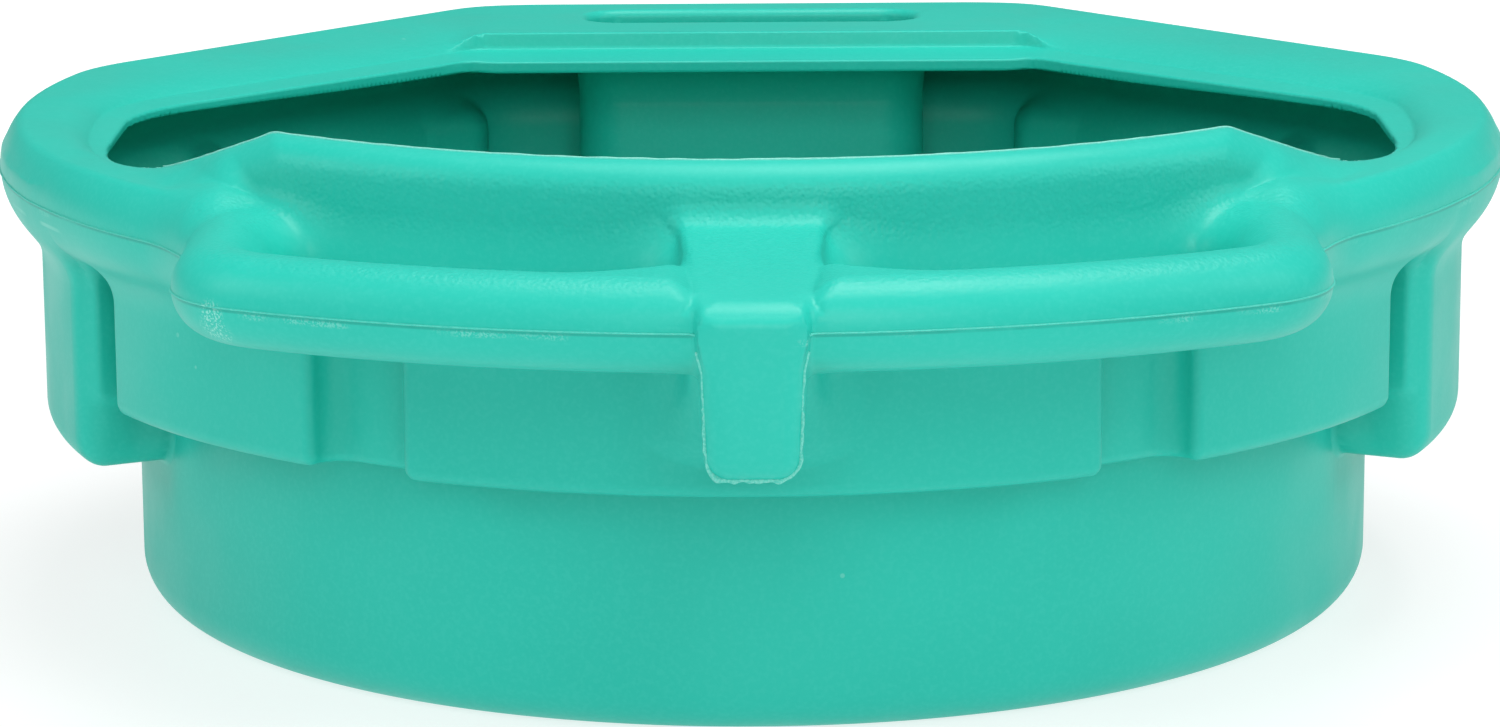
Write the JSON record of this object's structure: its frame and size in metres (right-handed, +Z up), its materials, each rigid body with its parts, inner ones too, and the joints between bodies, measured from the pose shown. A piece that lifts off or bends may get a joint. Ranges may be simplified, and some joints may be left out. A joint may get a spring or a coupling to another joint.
{
  "type": "oil drain pan",
  "caption": "Round plastic oil drain pan with a panelled belly, a hollow rim, a raised pouring wall, a looped front handle and a slotted rear grip.",
  "frame": {"origin": "on the floor, on the axis of the round tub", "axes": "+Z up, -Y towards the pouring wall and the front handle, +Y towards the rear grip, +X to the right seen from the front"},
  "size_m": [0.5612, 0.607, 0.203],
  "materials": {
    "body_plastic": "satin teal polyethylene with a fine moulded grain"
  },
  "bodies": {
    "root": {"base_floor": "body_plastic", "finger_channel": "body_plastic", "front_left_flute": "body_plastic", "front_left_lug_flute": "body_plastic", "front_left_panel": "body_plastic", "front_panel": "body_plastic", "front_right_flute": "body_plastic", "front_right_lug_flute": "body_plastic", "front_right_panel": "body_plastic", "handle_finger": "body_plastic", "handle_gusset": "body_plastic", "handle_post": "body_plastic", "left_handle_arm": "body_plastic", "left_handle_bar": "body_plastic", "left_lug": "body_plastic", "left_pouring_shoulder": "body_plastic", "left_rear_rim": "body_plastic", "left_side_rim": "body_plastic", "pouring_wall": "body_plastic", "rear_deck": "body_plastic", "rear_grip_bar": "body_plastic", "rear_left_cheek": "body_plastic", "rear_left_flute": "body_plastic", "rear_left_lug_flute": "body_plastic", "rear_left_panel": "body_plastic", "rear_right_cheek": "body_plastic", "rear_right_flute": "body_plastic", "rear_right_lug_flute": "body_plastic", "rear_right_panel": "body_plastic", "right_handle_arm": "body_plastic", "right_handle_bar": "body_plastic", "right_lug": "body_plastic", "right_pouring_shoulder": "body_plastic", "right_rear_rim": "body_plastic", "right_side_rim": "body_plastic", "tub_bend": "body_plastic", "tub_wall": "body_plastic"}
  },
  "joints": []
}
